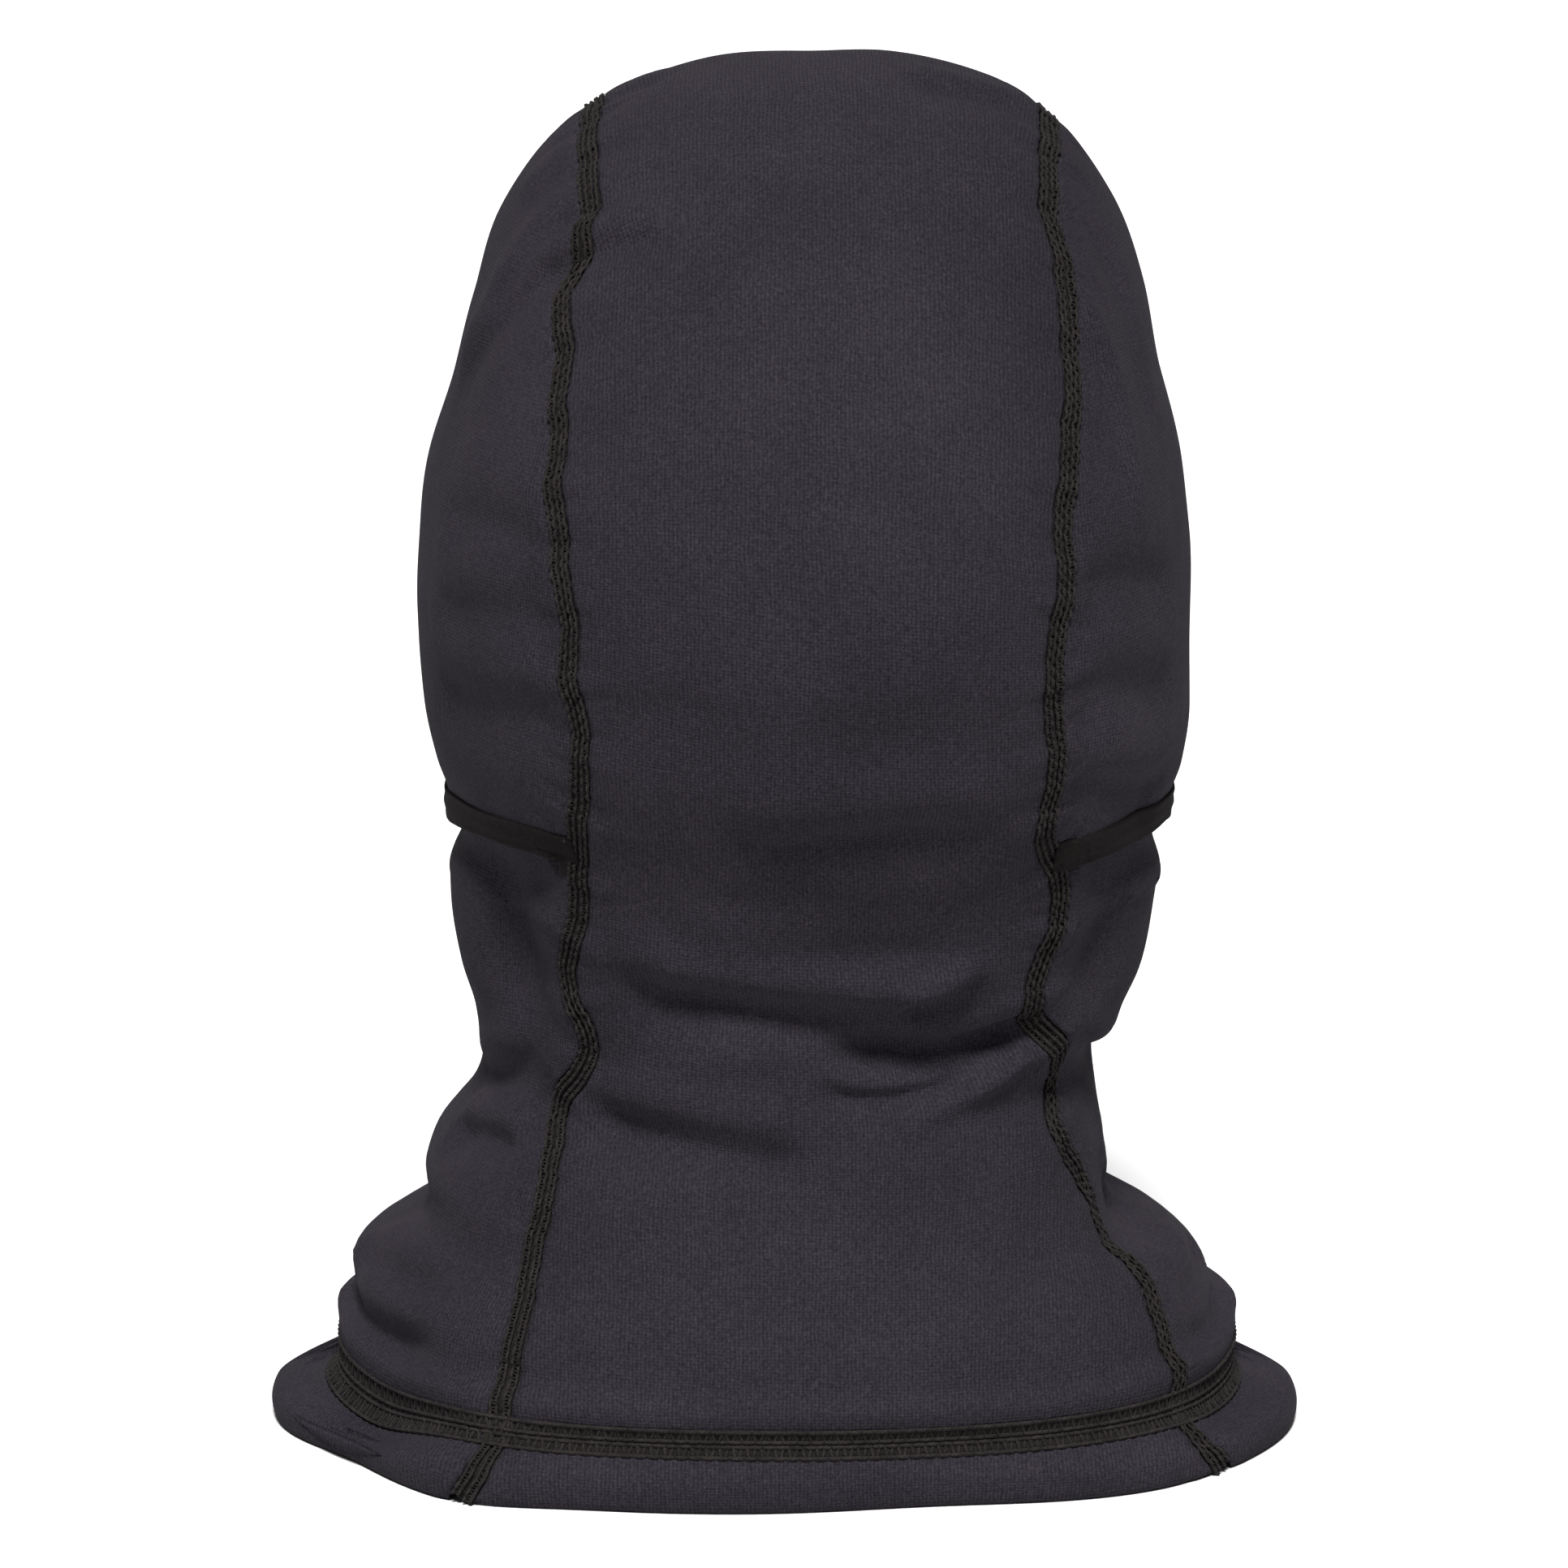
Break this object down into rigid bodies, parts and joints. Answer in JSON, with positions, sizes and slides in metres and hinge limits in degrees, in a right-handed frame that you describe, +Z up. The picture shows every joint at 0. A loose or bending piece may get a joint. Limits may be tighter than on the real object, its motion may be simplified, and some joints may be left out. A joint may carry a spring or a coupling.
{
  "type": "balaclava",
  "caption": "Knit balaclava: fitted hood with flat back seams, bound face edge, neck wrap with a turned hem, and a face mask that pulls down below the chin.",
  "frame": {"origin": "middle of the garment's footprint, on the surface its hem stands on", "axes": "+Z up from hem to crown, the wearer faces -Y, +X is the wearer's left"},
  "size_m": [0.237, 0.2102, 0.3151],
  "materials": {
    "body_knit": "matte",
    "seam_thread": "matte",
    "edge_tape": "matte"
  },
  "bodies": {
    "hood": {"centre_back_panel": "body_knit", "hood_side_left": "body_knit", "hood_side_right": "body_knit", "hood_edge_binding": "edge_tape", "back_seam_left": "seam_thread", "back_seam_right": "seam_thread", "neck_wrap": "body_knit", "hem_coverstitch": "seam_thread"},
    "mask": {"mask_panel": "body_knit", "mask_edge_binding": "edge_tape"}
  },
  "joints": [
    {"name": "mask_drop", "type": "hinge", "parent": "hood", "child": "mask", "pos_m": [-0.0035, 0.0762, 0.15], "axis": [1, 0, 0], "range_deg": [0, 26], "deforming": ["neck_wrap"]}
  ]
}
